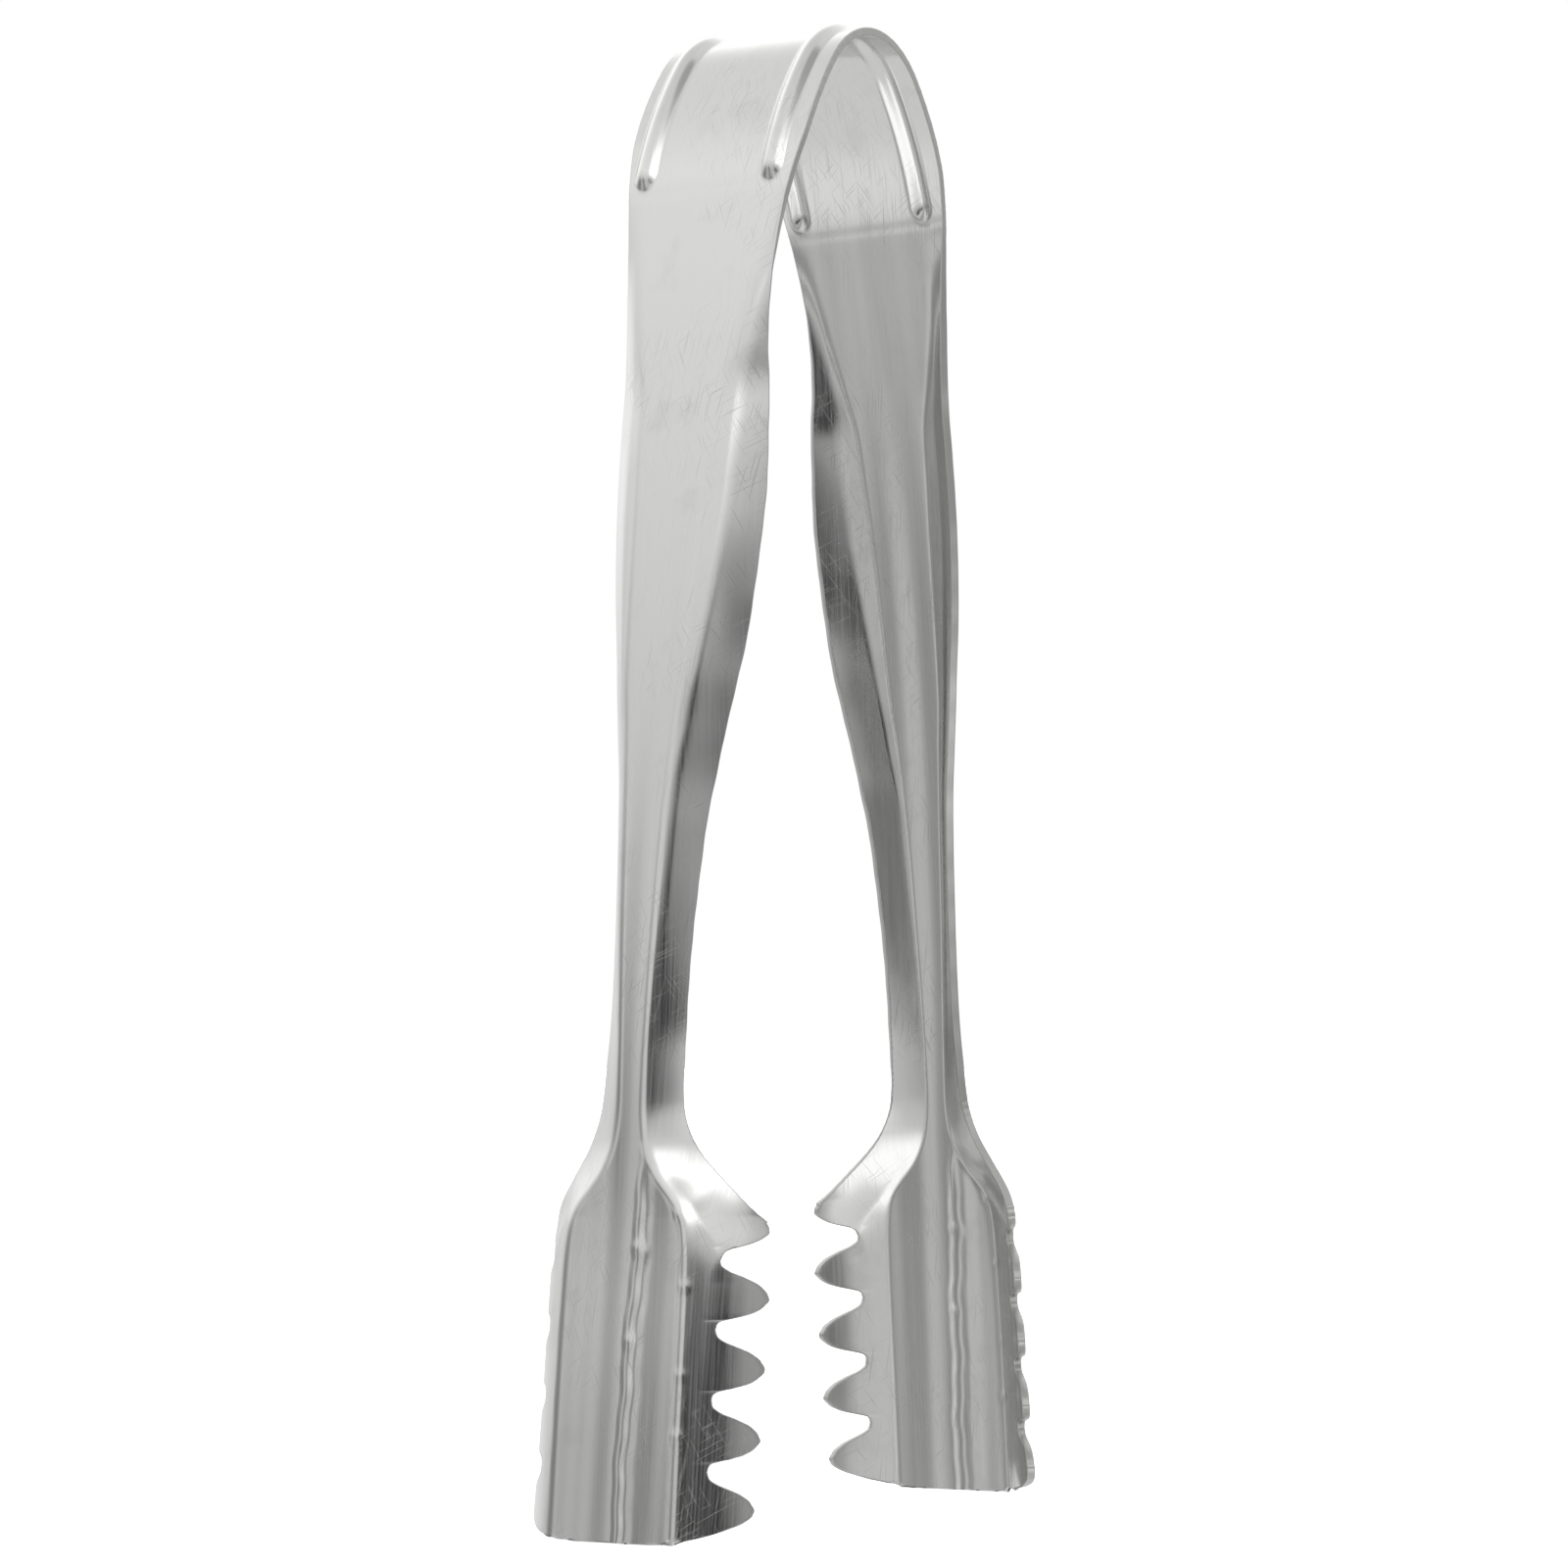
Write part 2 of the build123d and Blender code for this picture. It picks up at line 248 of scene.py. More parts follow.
# grid of points on the middle of the sheet for the +X half of the strip
def middleSurface():
    rows, run = stripRows()
    z = rows[:, 1]
    # the shear's unevenness
    width = cutWidth(z) + 0.012 * np.sin(z * 7.3) + 0.01 * np.sin(z * 17.9 + 1.3)
    core = np.minimum(0.78 * evenWidth(z), 0.8 * width)
    inside, outside = np.linspace(0, 1, strip["columns"]), np.linspace(0, 1, strip["edgeColumns"])[1:]
    half = np.concatenate([core[:, None] * inside, core[:, None] + (width - core)[:, None] * outside], axis=1)
    y = np.concatenate([-half[:, :0:-1], half], axis=1)
    height = z[:, None]
    reach = np.abs(y)
    facet, wall = facetFall(z)[:, None], wallFall(z)[:, None]
    fall = facet * softFall(reach - foldLine(z)[:, None], foldRound(z)[:, None])
    fall = fall + (wall - facet) * softFall(reach - turnLine(z)[:, None], turnRound(z)[:, None])
    fall = fall * np.clip(1 - (height - strip["armTop"]) / 4, 0, 1)
    # what the dies left: the seam, long waves across the back, the line at the bow and burrs
    inClaw = np.clip((strip["seamTop"] - height) / 8, 0, 1)
    wander = 0.12 * np.sin(0.45 * height + 1) + 0.06 * np.sin(1.3 * height)
    fromSeam = (y + seamLine(z)[:, None] + wander) / strip["seamWidth"]
    fall = fall - inClaw * strip["seamRise"] * np.exp(-fromSeam**2)
    fall = fall + inClaw * 0.6 * strip["seamRise"] * np.exp(-(fromSeam + 2.4) ** 2 / 2)
    fromCrease = (reach - foldLine(z)[:, None] + 0.2) / strip["creaseWidth"]
    fall = fall - (y < 0) * inClaw * strip["creaseRise"] * np.exp(-fromCrease**2)
    fall = fall + inClaw * strip["crown"] * y**2
    fall = fall + teeth["curl"] * np.maximum(reach - teeth["curlFrom"], 0) ** 2
    wave = strip["drawWave"] * np.cos(2 * math.pi * (y - 0.6) / strip["drawPitch"] + 0.02 * height)
    fall = fall + wave * np.clip((130 - height) / 30, 0, 1)
    fromLine = (height - strip["dieLine"] + 0.04 * y) / 0.45
    fall = fall + strip["dieLineDepth"] * np.exp(-fromLine**2)
    for burrHeight, across, radius, rise in burrs:
        fall = fall - rise * np.exp(-((height - burrHeight) ** 2 / 2 + (y - across) ** 2) / radius**2)
    return np.stack([rows[:, 0][:, None] - fall, y, np.broadcast_to(height, y.shape)], axis=-1), run


points, run = middleSurface()
print("strip grid:", points.shape)


# sRGB hex to the linear values that shaders use
def linearColour(hexColour):
    channels = [int(hexColour[i:i + 2], 16) / 255 for i in (1, 3, 5)]
    linear = [c / 12.92 if c <= 0.04045 else ((c + 0.055) / 1.055) ** 2.4 for c in channels]
    return (*linear, 1.0)


# adds one node: its settings, its inputs' values and what feeds it
def addNode(tree, kind, settings=None, inputs=None, links=None):
    node = tree.nodes.new(kind)
    for name, value in (settings or {}).items():
        setattr(node, name, value)
    for socket, value in (inputs or {}).items():
        node.inputs[socket].default_value = value
    for socket, source in (links or {}).items():
        tree.links.new(source, node.inputs[socket])
    return node


steel = {
    "metal": "#dadad9",
    "cutMetal": "#bdbdbb",
    "roughness": 0.16,
    "lineRoughness": 0.05,
    "cutRoughness": 0.42,
    "lineWidth": 0.16,         # polishing lines, drawn coarser than the real grit so that they show
    "lineLength": 16.0,
    "lineDepth": 0.0011,
    "waveWidth": 3.4,          # shallow waves along the strip, from drawing and years of bending
    "waveLength": 42.0,
    "waveDepth": 0.032,
    "grainSize": 0.35,         # orange peel of the cold-rolled sheet
    "grainDepth": 0.0004,
    # hairline scratches: angle to the strip, width, length, how rare
    "scratches": [(8, 0.13, 7.0, 0.75), (-24, 0.12, 5.0, 0.77), (52, 0.12, 4.0, 0.78)],
    "scratchDepth": 0.0016,
    "wearSize": 16.0,          # patches where the scratches gather
    "scratchRoughness": 0.08,
    "scratchShade": 0.6,       # grime held in them
    "blotchSize": 7.0,         # dull marks from drying water
    "blotchRoughness": 0.03,
    "blotchShade": 0.15,
}


# 18/8 stainless steel, cold rolled, pressed, then satin polished along the strip: soft reflections
# drawn out across the strip, faint lengthwise lines, and hairline scratches from use
def satinStainless():
    material = bpy.data.materials.new("stainlessSatinPolished")
    material.use_nodes = True
    tree = material.node_tree
    tree.nodes.clear()
    uv = addNode(tree, "ShaderNodeUVMap", {"uv_map": "strip"}).outputs[0]
    place = addNode(tree, "ShaderNodeMapping", inputs={"Scale": (uvSpan["across"], uvSpan["run"], 1)},
                    links={"Vector": uv}).outputs[0]         # millimetres across and along the strip
    cut = addNode(tree, "ShaderNodeAttribute", {"attribute_name": "cutEdge"}).outputs["Fac"]

    lineMap = addNode(tree, "ShaderNodeMapping",
                      inputs={"Scale": (1 / steel["lineWidth"], 1 / steel["lineLength"], 1)},
                      links={"Vector": place})
    lines = addNode(tree, "ShaderNodeTexNoise", {"noise_dimensions": "2D"}, {"Scale": 1.0, "Detail": 2.0},
                    {"Vector": lineMap.outputs[0]}).outputs["Fac"]
    waveMap = addNode(tree, "ShaderNodeMapping",
                      inputs={"Scale": (1 / steel["waveWidth"], 1 / steel["waveLength"], 1)},
                      links={"Vector": place})
    waves = addNode(tree, "ShaderNodeTexNoise", {"noise_dimensions": "2D"}, {"Scale": 1.0, "Detail": 1.0},
                    {"Vector": waveMap.outputs[0]}).outputs["Fac"]
    grain = addNode(tree, "ShaderNodeTexNoise", {"noise_dimensions": "2D"},
                    {"Scale": 1 / steel["grainSize"], "Detail": 2.0}, {"Vector": place}).outputs["Fac"]

    scratches = None
    for angle, width, length, rarity in steel["scratches"]:
        turned = addNode(tree, "ShaderNodeMapping", inputs={"Rotation": (0, 0, math.radians(angle))},
                         links={"Vector": place})
        drawn = addNode(tree, "ShaderNodeMapping",
                        inputs={"Scale": (1 / width, 1 / length, 1), "Location": (angle, 0, 0)},
                        links={"Vector": turned.outputs[0]})
        noise = addNode(tree, "ShaderNodeTexNoise", {"noise_dimensions": "2D"}, {"Scale": 1.0, "Detail": 0.0},
                        {"Vector": drawn.outputs[0]})
        hair = addNode(tree, "ShaderNodeMapRange", inputs={"From Min": rarity, "From Max": rarity + 0.06},
                       links={"Value": noise.outputs["Fac"]}).outputs[0]
        if scratches:
            hair = addNode(tree, "ShaderNodeMath", {"operation": "MAXIMUM"}, None,
                           {0: scratches, 1: hair}).outputs[0]
        scratches = hair
    worn = addNode(tree, "ShaderNodeTexNoise", {"noise_dimensions": "2D"},
                   {"Scale": 1 / steel["wearSize"], "Detail": 2.0}, {"Vector": place}).outputs["Fac"]
    wear = addNode(tree, "ShaderNodeMapRange", inputs={"From Min": 0.4, "From Max": 0.62, "To Min": 0.12},
                   links={"Value": worn}).outputs[0]
    scratches = addNode(tree, "ShaderNodeMath", {"operation": "MULTIPLY"}, None,
                        {0: scratches, 1: wear}).outputs[0]
    marks = addNode(tree, "ShaderNodeTexNoise", {"noise_dimensions": "2D"},
                    {"Scale": 1 / steel["blotchSize"], "Detail": 4.0}, {"Vector": place}).outputs["Fac"]
    blotches = addNode(tree, "ShaderNodeMapRange", inputs={"From Min": 0.6, "From Max": 0.72},
                       links={"Value": marks}).outputs[0]

    # height of the surface in metres
    height = None
    for source, depth in ((lines, steel["lineDepth"]), (waves, steel["waveDepth"]),
                          (grain, steel["grainDepth"]), (scratches, -steel["scratchDepth"])):
        add = {0: source} if height is None else {0: source, 2: height}
        height = addNode(tree, "ShaderNodeMath", {"operation": "MULTIPLY_ADD"}, {1: depth * mm, 2: 0.0},
                         add).outputs[0]
    bump = addNode(tree, "ShaderNodeBump", inputs={"Strength": 1.0, "Distance": 1.0},
                   links={"Height": height})

    lineRough = addNode(tree, "ShaderNodeMapRange",
                        inputs={"From Min": 0.3, "From Max": 0.7,
                                "To Min": steel["roughness"] - steel["lineRoughness"] / 2,
                                "To Max": steel["roughness"] + steel["lineRoughness"]},
                        links={"Value": lines})
    dullRough = addNode(tree, "ShaderNodeMath", {"operation": "MULTIPLY_ADD"}, {1: steel["blotchRoughness"]},
                        {0: blotches, 2: lineRough.outputs[0]})
    hairRough = addNode(tree, "ShaderNodeMath", {"operation": "MULTIPLY_ADD"}, {1: steel["scratchRoughness"]},
                        {0: scratches, 2: dullRough.outputs[0]})
    roughness = addNode(tree, "ShaderNodeMix", {"data_type": "FLOAT"}, {3: steel["cutRoughness"]},
                        {0: cut, 2: hairRough.outputs[0]})
    dull = addNode(tree, "ShaderNodeMath", {"operation": "MULTIPLY"}, {1: steel["blotchShade"]},
                   {0: blotches})
    shade = addNode(tree, "ShaderNodeMath", {"operation": "MULTIPLY_ADD"}, {1: steel["scratchShade"]},
                    {0: scratches, 2: dull.outputs[0]})
    patina = addNode(tree, "ShaderNodeMix", {"data_type": "RGBA"},
                     {6: linearColour(steel["metal"]), 7: linearColour(steel["cutMetal"])},
                     {0: shade.outputs[0]})
    colour = addNode(tree, "ShaderNodeMix", {"data_type": "RGBA"}, {7: linearColour(steel["cutMetal"])},
                     {0: cut, 6: patina.outputs[2]})
    shader = addNode(tree, "ShaderNodeBsdfPrincipled", inputs={"Metallic": 1.0},
                     links={"Base Color": colour.outputs[2], "Roughness": roughness.outputs[0],
                            "Normal": bump.outputs[0]})
    addNode(tree, "ShaderNodeOutputMaterial", links={"Surface": shader.outputs[0]})
    return material


uvSpan = {
    "across": 40.0,            # millimetres that the strip's UV square stands for
    "run": 220.0,
    "halfShift": 0.31,
    "innerShift": 0.37,
}
metal = satinStainless()
print("steel made")


# geometry nodes that press two round-ended beads outwards along the strip
def beadTree():
    tree = bpy.data.node_groups.new("pressBeads", "GeometryNodeTree")
    tree.interface.new_socket("Geometry", in_out="INPUT", socket_type="NodeSocketGeometry")
    for name in ("Bead Offset", "Bead Shift", "Bead Half Width", "Bead Height", "Bead Run", "Bead End"):
        tree.interface.new_socket(name, in_out="INPUT", socket_type="NodeSocketFloat")
    tree.interface.new_socket("Metal", in_out="INPUT", socket_type="NodeSocketMaterial")
    tree.interface.new_socket("Geometry", in_out="OUTPUT", socket_type="NodeSocketGeometry")
    given = addNode(tree, "NodeGroupInput").outputs
    across = addNode(tree, "GeometryNodeInputNamedAttribute", {"data_type": "FLOAT"}, {"Name": "across"})
    along = addNode(tree, "GeometryNodeInputNamedAttribute", {"data_type": "FLOAT"}, {"Name": "run"})

    fromShift = addNode(tree, "ShaderNodeMath", {"operation": "SUBTRACT"}, None,
                        {0: across.outputs[0], 1: given["Bead Shift"]})
    side = addNode(tree, "ShaderNodeMath", {"operation": "ABSOLUTE"}, None, {0: fromShift.outputs[0]})
    fromLine = addNode(tree, "ShaderNodeMath", {"operation": "SUBTRACT"}, None,
                       {0: side.outputs[0], 1: given["Bead Offset"]})
    past = addNode(tree, "ShaderNodeMath", {"operation": "SUBTRACT"}, None,
                   {0: along.outputs[0], 1: given["Bead Run"]})
    pastEnd = addNode(tree, "ShaderNodeMath", {"operation": "MAXIMUM"}, {1: 0.0}, {0: past.outputs[0]})
    drawnEnd = addNode(tree, "ShaderNodeMath", {"operation": "DIVIDE"}, None,
                       {0: pastEnd.outputs[0], 1: given["Bead End"]})
    gap = addNode(tree, "ShaderNodeCombineXYZ", None, None, {0: fromLine.outputs[0], 1: drawnEnd.outputs[0]})
    distance = addNode(tree, "ShaderNodeVectorMath", {"operation": "LENGTH"}, None, {0: gap.outputs[0]})
    share = addNode(tree, "ShaderNodeMath", {"operation": "DIVIDE"}, None,
                    {0: distance.outputs["Value"], 1: given["Bead Half Width"]}).outputs[0]
    square = addNode(tree, "ShaderNodeMath", {"operation": "MULTIPLY"}, None, {0: share, 1: share})
    dome = addNode(tree, "ShaderNodeMath", {"operation": "SUBTRACT", "use_clamp": True}, {0: 1.0},
                   {1: square.outputs[0]}).outputs[0]
    flatFoot = addNode(tree, "ShaderNodeMath", {"operation": "MULTIPLY"}, None, {0: dome, 1: dome})
    rise = addNode(tree, "ShaderNodeMath", {"operation": "MULTIPLY"}, None,
                   {0: flatFoot.outputs[0], 1: given["Bead Height"]}).outputs[0]
    push = addNode(tree, "ShaderNodeVectorMath", {"operation": "SCALE"}, None,
                   {0: addNode(tree, "GeometryNodeInputNormal").outputs[0], "Scale": rise})
    moved = addNode(tree, "GeometryNodeSetPosition", None, None,
                    {"Geometry": given["Geometry"], "Offset": push.outputs[0]})
    real = addNode(tree, "GeometryNodeRealizeInstances", None, None, {0: moved.outputs[0]})
    painted = addNode(tree, "GeometryNodeSetMaterial", None, None,
                      {"Geometry": real.outputs[0], "Material": given["Metal"]})
    addNode(tree, "NodeGroupOutput", None, None, {0: painted.outputs[0]})
    return tree


# the grid of the half strip after the beads are pressed into it
def pressBeads(grid, run):
    rows, columns = grid.shape[:2]
    index = np.arange(rows * columns).reshape(rows, columns)
    quads = np.stack([index[:-1, :-1], index[1:, :-1], index[1:, 1:], index[:-1, 1:]], axis=-1).reshape(-1, 4)
    mesh = bpy.data.meshes.new("sheetBlank")
    mesh.from_pydata((grid * mm).reshape(-1, 3).tolist(), [], quads.tolist())
    across = mesh.attributes.new("across", "FLOAT", "POINT")
    across.data.foreach_set("value", (grid[..., 1] * mm).ravel().astype(np.float32))
    along = mesh.attributes.new("run", "FLOAT", "POINT")
    along.data.foreach_set("value", np.repeat(run * mm, columns).astype(np.float32))
    blank = bpy.data.objects.new("sheetBlank", mesh)
    bpy.context.scene.collection.objects.link(blank)
    press = blank.modifiers.new("pressBeads", "NODES")
    press.node_group = beadTree()
    domeCentre = beads["lowest"] + beads["halfWidth"] * beads["end"]
    lastRow = int(np.argmin(np.abs(grid[:, 0, 2] - domeCentre)))
    sizes = {"Bead Offset": beads["offset"] * mm, "Bead Shift": beads["shift"] * mm,
             "Bead Run": run[lastRow] * mm, "Bead End": beads["end"],
             "Bead Half Width": beads["halfWidth"] * mm, "Bead Height": beads["height"] * mm, "Metal": metal}
    for socket in press.node_group.interface.items_tree:
        if socket.in_out == "INPUT" and socket.name in sizes:
            press[socket.identifier] = sizes[socket.name]
    evaluated = blank.evaluated_get(bpy.context.evaluated_depsgraph_get())
    pressed = bpy.data.meshes.new_from_object(evaluated)
    places = np.zeros(len(pressed.vertices) * 3)
    pressed.vertices.foreach_get("co", places)
    blank.modifiers.remove(press)
    bpy.data.objects.remove(blank)
    bpy.data.meshes.remove(pressed)
    return places.reshape(rows, columns, 3) / mm


def unit(vectors):
    return vectors / np.maximum(np.linalg.norm(vectors, axis=-1, keepdims=True), 1e-9)


# closed mesh of the half strip: both faces, rounded cut edges and a cap at the crown
def thickSheet(name, grid, run, mirrored):
    rows, columns = grid.shape[:2]
    normals = unit(np.cross(np.gradient(grid, axis=1), np.gradient(grid, axis=0)))
    if normals[0, columns // 2, 2] < 0:
        normals = -normals
    normals[0, :, 0] = 0
    normals = unit(normals)
    half, bevel = strip["sheet"] / 2, strip["edgeRound"]
    index = np.arange(rows * columns).reshape(rows, columns)
    rim = np.concatenate([index[:, 0], index[-1, 1:], index[-2::-1, -1]])
    flat, flatNormals = grid.reshape(-1, 3), normals.reshape(-1, 3)
    along = unit(np.gradient(flat[rim], axis=0))
    outward = unit(np.cross(along, flatNormals[rim]))
    centre = flat[index[rows // 2, columns // 2]]
    if np.dot(outward[rows // 2], flat[rim[rows // 2]] - centre) < 0:
        outward = -outward
    outward[0, 0] = outward[-1, 0] = 0
    outer, inner = flat + flatNormals * half, flat - flatNormals * half
    outer[rim] -= outward * bevel
    inner[rim] -= outward * bevel
    soft = 1 - math.cos(math.pi / 4)
    rings, ringNormals = [], []
    for level, inset, tilt in ((half - bevel * soft, bevel * soft, 1), (half - bevel, 0, 0),
                               (bevel - half, 0, 0), (bevel * soft - half, bevel * soft, -1)):
        rings.append(flat[rim] + flatNormals[rim] * level - outward * inset)
        ringNormals.append(unit(outward + tilt * flatNormals[rim]))
    vertices = np.concatenate([outer, inner, *rings])
    vertexNormals = np.concatenate([flatNormals, -flatNormals, *ringNormals])
    count, edge = rows * columns, len(rim)
    face = np.stack([index[:-1, :-1], index[1:, :-1], index[1:, 1:], index[:-1, 1:]], axis=-1).reshape(-1, 4)
    loops = [rim] + [np.arange(edge) + 2 * count + i * edge for i in range(4)] + [rim + count]
    bands = [np.stack([a[:-1], b[:-1], b[1:], a[1:]], axis=-1) for a, b in zip(loops[:-1], loops[1:])]
    top = index[0]
    cap = np.stack([top[:-1], top[1:], top[1:] + count, top[:-1] + count], axis=-1)
    innerFace = face[:, ::-1] + count
    faces = np.concatenate([face, innerFace, *bands, cap]).tolist()
    faces.append([int(loop[0]) for loop in loops])
    faces.append([int(loop[-1]) for loop in reversed(loops)])
    if mirrored:
        vertices[:, 0] *= -1
        vertexNormals[:, 0] *= -1
        faces = [f[::-1] for f in faces]
    mesh = bpy.data.meshes.new(name)
    mesh.from_pydata((vertices * mm).tolist(), [], faces)
    mesh.validate()
    flags = np.zeros(len(vertices), np.float32)
    flags[2 * count:] = 1
    flags[rim] = flags[rim + count] = 0.5
    mesh.attributes.new("cutEdge", "FLOAT", "POINT").data.foreach_set("value", flags)
    # the mirrored half and the inner face each get their own part of the pattern
    sideShift = uvSpan["halfShift"] if mirrored else 0.0
    u = 0.5 + grid[..., 1] / uvSpan["across"]
    v = np.repeat(run / uvSpan["run"], columns).reshape(rows, columns) + sideShift
    unwrapped = np.stack([u, v], -1).reshape(-1, 2)
    inside = unwrapped + (uvSpan["innerShift"], 0.0)
    perVertex = np.concatenate([unwrapped, inside, *[unwrapped[rim]] * 4])
    corner = np.zeros(len(mesh.loops), int)
    mesh.loops.foreach_get("vertex_index", corner)
    mesh.uv_layers.new(name="strip").data.foreach_set("uv", perVertex[corner].astype(np.float32).ravel())
    mesh.polygons.foreach_set("use_smooth", [True] * len(mesh.polygons))
    mesh.normals_split_custom_set_from_vertices(vertexNormals.tolist())
    mesh.materials.append(metal)
    piece = bpy.data.objects.new(name, mesh)
    bpy.context.scene.collection.objects.link(piece)
    print(name, "triangles:", sum(len(p.vertices) - 2 for p in mesh.polygons))
    return piece


pressedPoints = pressBeads(points, run)
rightHalf = thickSheet("rightHalfStrip", pressedPoints, run, mirrored=False)
leftHalf = thickSheet("leftHalfStrip", pressedPoints, run, mirrored=True)

# the half strips stand in for each side's shoulder, grip, neck and claw, and their placement is baked into
# the mesh
for piece, side in ((leftHalf, "left"), (rightHalf, "right")):
    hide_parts(*[f"{side}_{zone}" for zone in ("shoulder", "grip", "neck", "claw")])
    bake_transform(piece)
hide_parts("bow_crown")
print("strip pressed, thickened and placed")

floorLook = {"paint": "#f7f7f7", "glow": 0.62, "size": 7.0}


# pale matt floor, which the camera sees; the metal sees the light tent's lower half instead
def paleFloor():
    size = floorLook["size"]
    mesh = bpy.data.meshes.new("paleFloor")
    corners = [(-size, -size, 0), (size, -size, 0), (size, size, 0), (-size, size, 0)]
    mesh.from_pydata(corners, [], [(0, 1, 2, 3)])
    floor = bpy.data.objects.new("paleFloor", mesh)
    bpy.context.scene.collection.objects.link(floor)
    material = bpy.data.materials.new("paleMattPaint")
    material.use_nodes = True
    shader = material.node_tree.nodes["Principled BSDF"]
    shader.inputs["Base Color"].default_value = linearColour(floorLook["paint"])
    shader.inputs["Roughness"].default_value = 0.9
    shader.inputs["Specular IOR Level"].default_value = 0.1
    shader.inputs["Emission Color"].default_value = (1, 1, 1, 1)
    shader.inputs["Emission Strength"].default_value = floorLook["glow"]
    mesh.materials.append(material)
    floor.visible_glossy = False


tent = {
    "radius": 3.2,
    "brightness": 1.3,
    # brightness by height: share of the way up from the lowest point, level
    "levels": [(0.0, 0.6), (0.25, 0.66), (0.315, 0.66), (0.345, 0.4), (0.45, 0.39), (0.5, 0.34),
               (0.55, 0.335), (0.585, 0.5), (0.66, 0.6), (0.69, 0.67), (0.75, 0.7), (0.79, 0.74),
               (0.85, 0.8), (0.93, 0.69), (1.0, 0.6)],
    # cards on the tent: middle, half-width and softness of the bearing in degrees, lowest and
    # highest elevation, softness of those, brightness added
    "cards": [
        (226, 14, 3, 25, 50, 4, 0.72),       # narrow softbox beside the camera
        (227, 25, 6, -1, 12, 2, -0.46),      # black card low behind the camera
        (252, 11, 4, -1, 6, 2, -0.3),        # and its wing
        (262, 16, 6, 8, 20, 4, -0.07),       # grey card above the wing
        (276, 14, 6, -12, 0, 3, -0.32),      # black card to the right, for the far wall of the right arm
        (222, 24, 8, -65, -26, 6, 0.6),      # white card on the table under the camera
        (234, 30, 6, -24, -9, 3, 0.16),      # its rim
        (267, 22, 8, 40, 75, 6, -0.42),     # grey card overhead
        (141, 6, 4, -40, 14, 6, 0.13),       # seams of the tent's side wall
        (160, 7, 4, -40, 14, 6, -0.17),
        (185, 12, 6, -40, 14, 6, 0.2),
        (112, 16, 10, -40, 14, 8, -0.18),
        (40, 50, 25, -30, 50, 15, 0.4),      # lit background
    ],
}


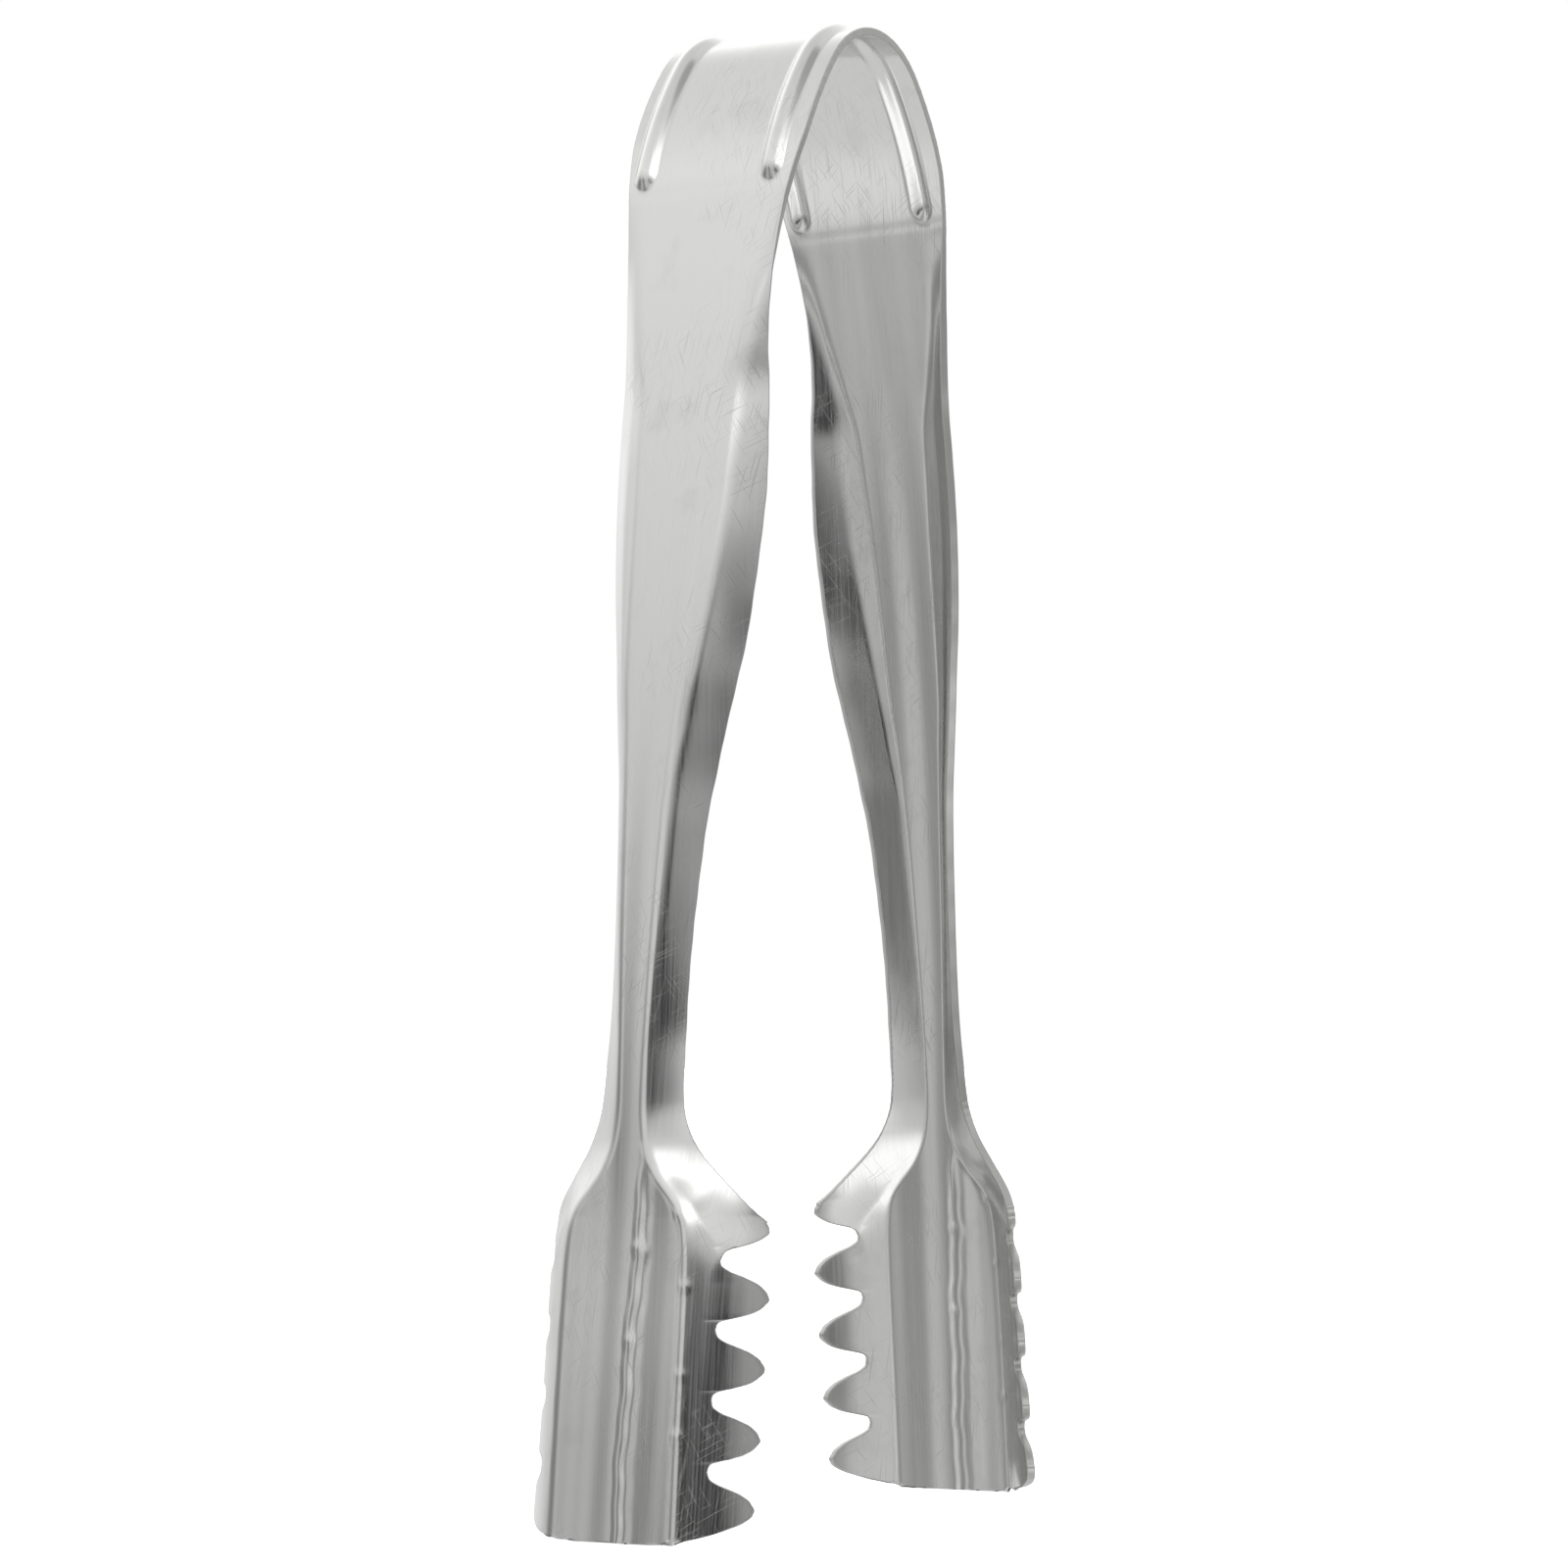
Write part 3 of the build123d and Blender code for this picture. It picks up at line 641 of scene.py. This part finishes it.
# soft light tent that only the reflections and the floor see
def lightTent():
    bpy.ops.mesh.primitive_uv_sphere_add(segments=48, ring_count=24, radius=tent["radius"])
    shell = bpy.context.object
    shell.name = "lightTent"
    shell.data.flip_normals()
    material = bpy.data.materials.new("lightTentFabric")
    material.use_nodes = True
    tree = material.node_tree
    tree.nodes.clear()
    place = addNode(tree, "ShaderNodeTexCoord").outputs["Object"]
    direction = addNode(tree, "ShaderNodeVectorMath", {"operation": "NORMALIZE"}, None, {0: place}).outputs[0]
    height = addNode(tree, "ShaderNodeSeparateXYZ", None, None, {0: direction}).outputs["Z"]
    level = addNode(tree, "ShaderNodeVectorMath", {"operation": "MULTIPLY"}, {1: (1, 1, 0)}, {0: direction})
    bearing = addNode(tree, "ShaderNodeVectorMath", {"operation": "NORMALIZE"}, None,
                      {0: level.outputs[0]}).outputs[0]
    share = addNode(tree, "ShaderNodeMapRange", None, {"From Min": -1.0, "From Max": 1.0}, {"Value": height})
    ramp = addNode(tree, "ShaderNodeValToRGB", None, None, {0: share.outputs[0]})
    while len(ramp.color_ramp.elements) < len(tent["levels"]):
        ramp.color_ramp.elements.new(0.5)
    for element, (position, value) in zip(ramp.color_ramp.elements, tent["levels"]):
        element.position = position
        element.color = (value, value, value, 1)
    total = addNode(tree, "ShaderNodeMath", {"operation": "MULTIPLY"}, {1: tent["brightness"]},
                    {0: ramp.outputs[0]}).outputs[0]
    for middle, halfWidth, soft, low, high, softHeight, added in tent["cards"]:
        towards = (math.cos(math.radians(middle)), math.sin(math.radians(middle)), 0)
        facing = addNode(tree, "ShaderNodeVectorMath", {"operation": "DOT_PRODUCT"}, {1: towards},
                         {0: bearing})
        across = addNode(tree, "ShaderNodeMapRange", {"interpolation_type": "SMOOTHSTEP"},
                         {"From Min": math.cos(math.radians(halfWidth + soft)),
                          "From Max": math.cos(math.radians(max(halfWidth - soft, 0)))},
                         {"Value": facing.outputs["Value"]})
        lowEdge, highEdge = ([math.sin(math.radians(e - softHeight)), math.sin(math.radians(e + softHeight))]
                             for e in (low, high))
        above = addNode(tree, "ShaderNodeMapRange", {"interpolation_type": "SMOOTHSTEP"},
                        {"From Min": lowEdge[0], "From Max": lowEdge[1], "To Max": added}, {"Value": height})
        below = addNode(tree, "ShaderNodeMapRange", {"interpolation_type": "SMOOTHSTEP"},
                        {"From Min": highEdge[0], "From Max": highEdge[1], "To Min": 1.0, "To Max": 0.0},
                        {"Value": height})
        strength = addNode(tree, "ShaderNodeMath", {"operation": "MULTIPLY"}, None,
                           {0: above.outputs[0], 1: below.outputs[0]})
        total = addNode(tree, "ShaderNodeMath", {"operation": "MULTIPLY_ADD"}, None,
                        {0: strength.outputs[0], 1: across.outputs[0], 2: total}).outputs[0]
    lowest = addNode(tree, "ShaderNodeMath", {"operation": "MAXIMUM"}, {1: 0.02}, {0: total})
    glow = addNode(tree, "ShaderNodeEmission", None, {"Color": (1, 1, 1, 1)}, {"Strength": lowest.outputs[0]})
    addNode(tree, "ShaderNodeOutputMaterial", links={"Surface": glow.outputs[0]})
    shell.data.materials.append(material)
    shell.visible_camera = False
    shell.visible_shadow = False


view = {"azimuth": -59.92, "pitch": 2.67, "roll": -0.14, "distance": 600.8, "height": 53.1,
        "sideways": -0.876, "lens": 123.75}


# long lens level with the necks and turned a touch upwards
def placeCamera():
    turn, pitch, roll = (math.radians(view[k]) for k in ("azimuth", "pitch", "roll"))
    right = Vector((math.cos(turn), math.sin(turn), 0))
    ahead = Vector((-math.sin(turn), math.cos(turn), 0))
    up = Vector((0, 0, 1))
    place = -ahead * view["distance"] + right * view["sideways"] + up * view["height"]
    look = ahead * math.cos(pitch) + up * math.sin(pitch)
    lookUp = up * math.cos(pitch) - ahead * math.sin(pitch)
    x = right * math.cos(roll) + lookUp * math.sin(roll)
    y = lookUp * math.cos(roll) - right * math.sin(roll)
    data = bpy.data.cameras.new("longLens")
    data.lens, data.sensor_width = view["lens"], 36
    data.clip_start, data.clip_end = 0.01, 30
    camera = bpy.data.objects.new("longLens", data)
    bpy.context.scene.collection.objects.link(camera)
    camera.matrix_world = Matrix.Translation(place * mm) @ Matrix((x, y, -look)).transposed().to_4x4()
    bpy.context.scene.camera = camera


paleFloor()
lightTent()
placeCamera()
world = bpy.data.worlds.new("paleStudio")
world.use_nodes = True
world.node_tree.nodes["Background"].inputs["Color"].default_value = (1, 1, 1, 1)
world.node_tree.nodes["Background"].inputs["Strength"].default_value = 1.0
bpy.context.scene.world = world
bpy.context.scene.view_settings.view_transform = "Standard"
print("stage set")
